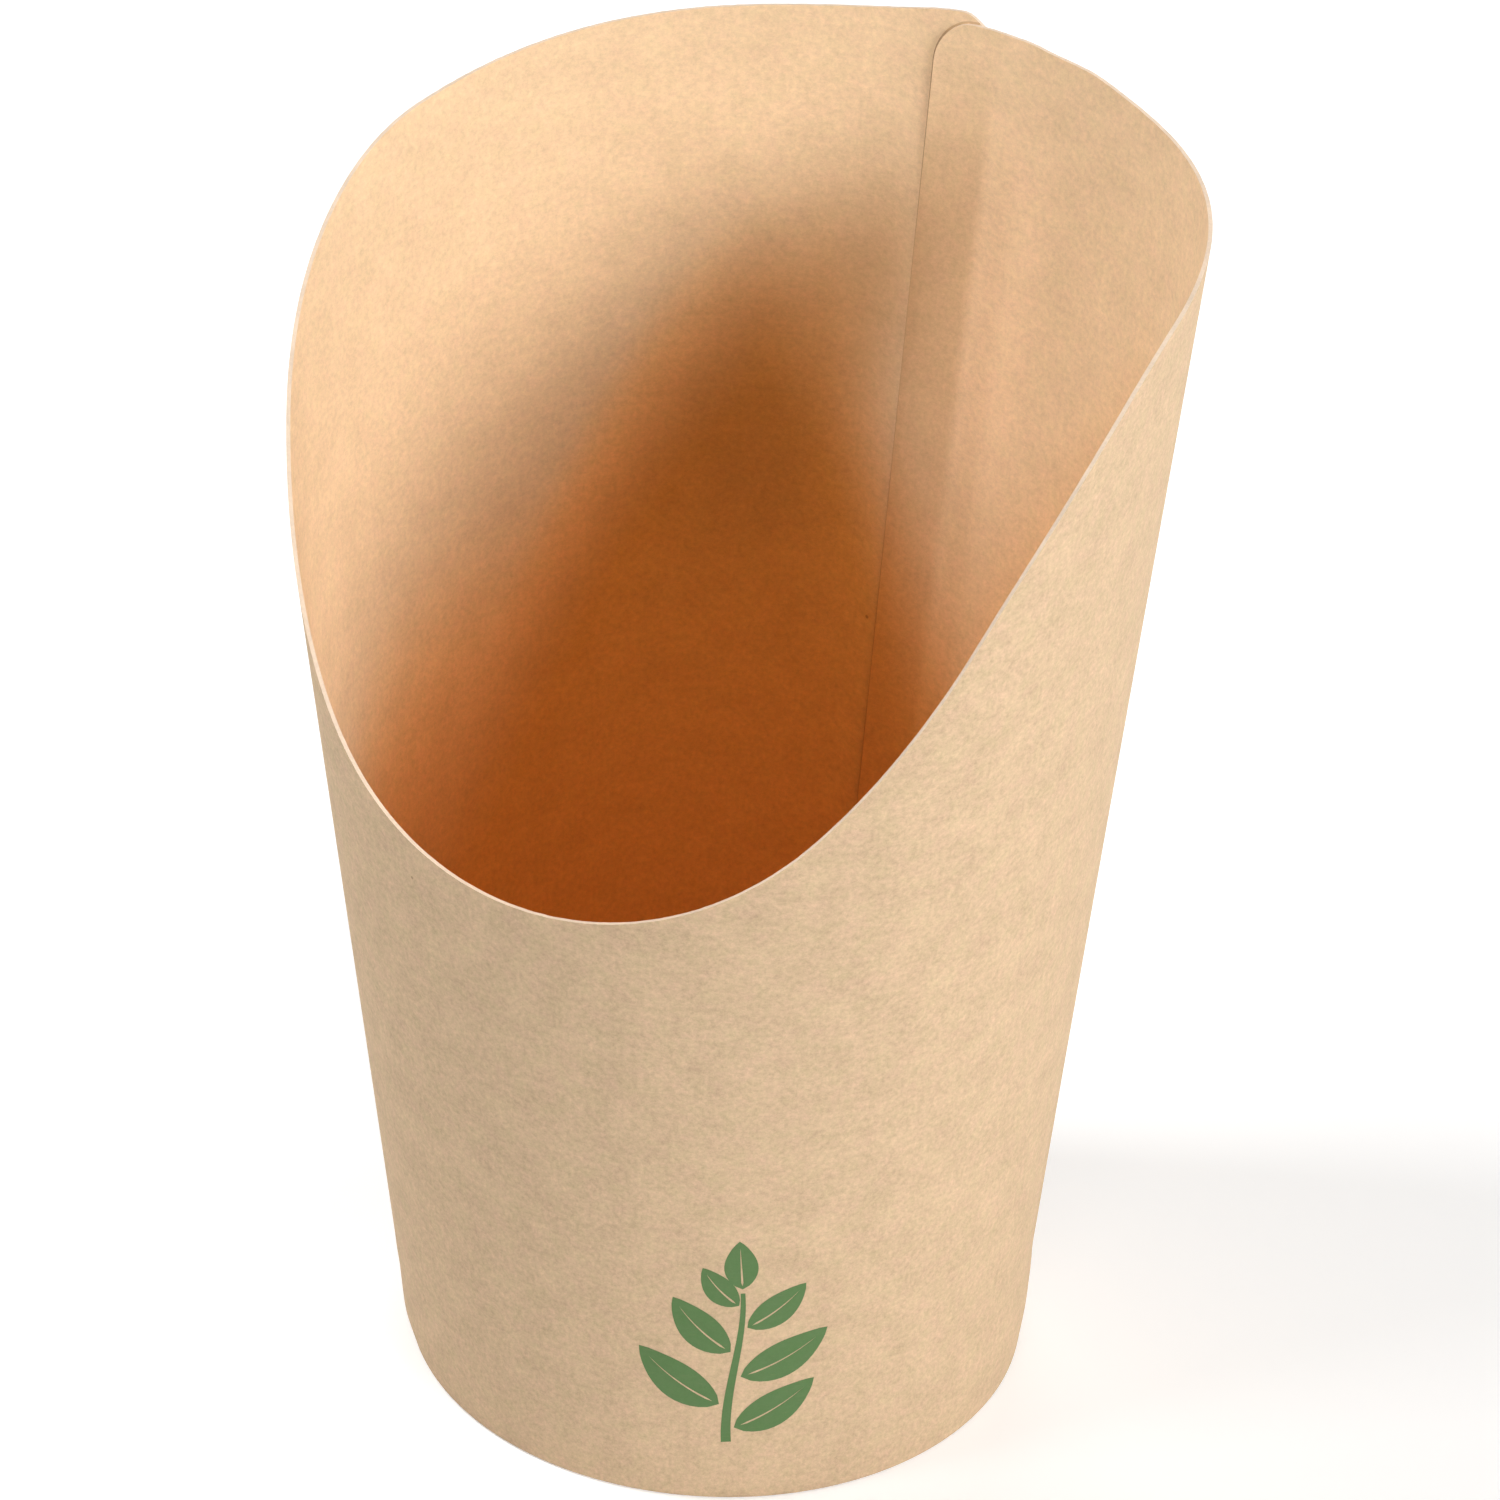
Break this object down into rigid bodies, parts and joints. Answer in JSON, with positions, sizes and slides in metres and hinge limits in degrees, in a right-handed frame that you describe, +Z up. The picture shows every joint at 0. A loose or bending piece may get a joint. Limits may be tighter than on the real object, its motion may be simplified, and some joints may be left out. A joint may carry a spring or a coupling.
{
  "type": "paper wrap cup",
  "caption": "Tapered kraft paper cup with a scooped mouth, high at the back and low at the front, for holding a rolled wrap or snack upright.",
  "frame": {"origin": "centre of the foot ring on the table", "axes": "+Z up along the cup, -Y towards the low side of the mouth, the lapped seam up the +Y side"},
  "size_m": [0.0848, 0.0865, 0.1286],
  "materials": {
    "wall_paper": "matte kraft with fine fibres",
    "bottom_paper": "matte kraft with fine fibres"
  },
  "bodies": {
    "root": {"side_wall": "wall_paper", "bottom_disc": "bottom_paper"}
  },
  "joints": []
}
